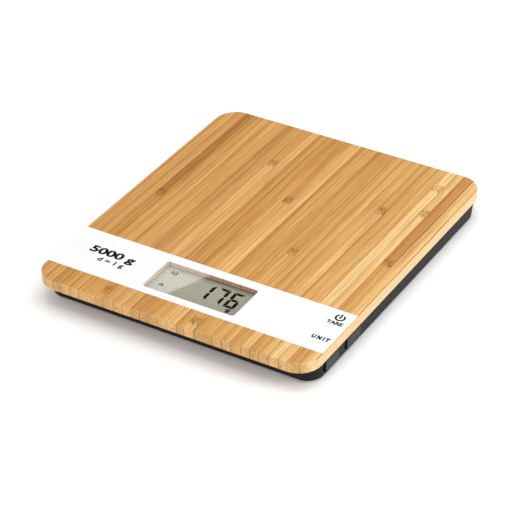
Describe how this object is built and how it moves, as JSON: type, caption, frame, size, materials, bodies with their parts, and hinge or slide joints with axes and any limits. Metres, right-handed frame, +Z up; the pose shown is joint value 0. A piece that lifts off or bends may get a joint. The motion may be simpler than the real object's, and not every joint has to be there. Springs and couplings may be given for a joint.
{
  "type": "kitchen scale",
  "caption": "Slim electronic kitchen scale: flat rounded bamboo platform with a display window in a white band, over a black tray with side buttons, load-cell feet and a hinged battery door.",
  "frame": {"origin": "middle of the object's box at the surface it stands on", "axes": "+Z up, +Y from the display edge to the back, +X to the user's right, the side with the buttons"},
  "size_m": [0.18, 0.21, 0.019],
  "materials": {
    "bamboo": "laminated bamboo strips, sanded, clear matt lacquer",
    "white_band": "white printed band, satin gloss",
    "clear_window": "clear polished acrylic cover",
    "lcd_glass": "liquid-crystal cell between two glasses, grey-green",
    "reflector_foil": "satin reflecting film",
    "foam": "closed-cell foam tape",
    "contact_rubber": "layered conducting elastomer",
    "holder_plastic": "moulded white plastic",
    "circuit_board": "green solder mask",
    "chip_epoxy": "black epoxy dome",
    "ceramic_parts": "small ceramic and metal parts",
    "screw_steel": "zinc-plated steel",
    "wire_cover": "flexible wire insulation",
    "black_plastic": "black moulded plastic, fine spark texture",
    "button_plastic": "black moulded plastic, smoother than the tray",
    "switch_plastic": "moulded black plastic",
    "cell_steel": "stamped spring steel",
    "gauge_sealant": "white silicone over the gauge",
    "clamp_plastic": "moulded natural plastic",
    "foot_rubber": "soft grey-black rubber",
    "coin_steel": "nickel-plated steel can",
    "contact_brass": "plated spring brass"
  },
  "bodies": {
    "body": {"platform_board": "bamboo", "label_band": "white_band", "display_window": "clear_window", "display_seal": "foam", "lcd_panel": "lcd_glass", "lcd_reflector": "reflector_foil", "lcd_holder": "holder_plastic", "lcd_contact_strips": "contact_rubber", "main_board": "circuit_board", "controller_chip": "chip_epoxy", "circuit_parts": "ceramic_parts", "main_board_screws": "screw_steel", "button_board": "circuit_board", "button_board_screws": "screw_steel", "button_ribbon": "wire_cover", "tray": "black_plastic", "case_screws": "screw_steel", "strain_gauges": "gauge_sealant", "load_cell_screws": "screw_steel", "coin_cell": "coin_steel", "battery_contact_negative": "contact_brass", "battery_contact_positive": "contact_brass", "battery_leads": "wire_cover", "foot_front_left": "black_plastic", "foot_pad_front_left": "foot_rubber", "load_cell_front_left": "cell_steel", "load_cell_clamp_front_left": "clamp_plastic", "load_cell_wires_front_left": "wire_cover", "foot_front_right": "black_plastic", "foot_pad_front_right": "foot_rubber", "load_cell_front_right": "cell_steel", "load_cell_clamp_front_right": "clamp_plastic", "load_cell_wires_front_right": "wire_cover", "foot_back_left": "black_plastic", "foot_pad_back_left": "foot_rubber", "load_cell_back_left": "cell_steel", "load_cell_clamp_back_left": "clamp_plastic", "load_cell_wires_back_left": "wire_cover", "foot_back_right": "black_plastic", "foot_pad_back_right": "foot_rubber", "load_cell_back_right": "cell_steel", "load_cell_clamp_back_right": "clamp_plastic", "load_cell_wires_back_right": "wire_cover", "tare_switch_body": "switch_plastic", "unit_switch_body": "switch_plastic"},
    "tare_button": {"tare_button": "button_plastic", "tare_switch_plunger": "switch_plastic"},
    "unit_button": {"unit_button": "button_plastic", "unit_switch_plunger": "switch_plastic"},
    "battery_door": {"battery_door": "black_plastic"}
  },
  "joints": [
    {"name": "tare_button_press", "type": "slide", "parent": "body", "child": "tare_button", "axis": [-1, 0, 0], "range_m": [0, 0.0006], "stiffness_N_per_m": 2500},
    {"name": "unit_button_press", "type": "slide", "parent": "body", "child": "unit_button", "axis": [-1, 0, 0], "range_m": [0, 0.0006], "stiffness_N_per_m": 2500},
    {"name": "battery_door_hinge", "type": "hinge", "parent": "body", "child": "battery_door", "pos_m": [0, 0.04, 0.0012], "axis": [1, 0, 0], "range_deg": [0, 90]}
  ]
}
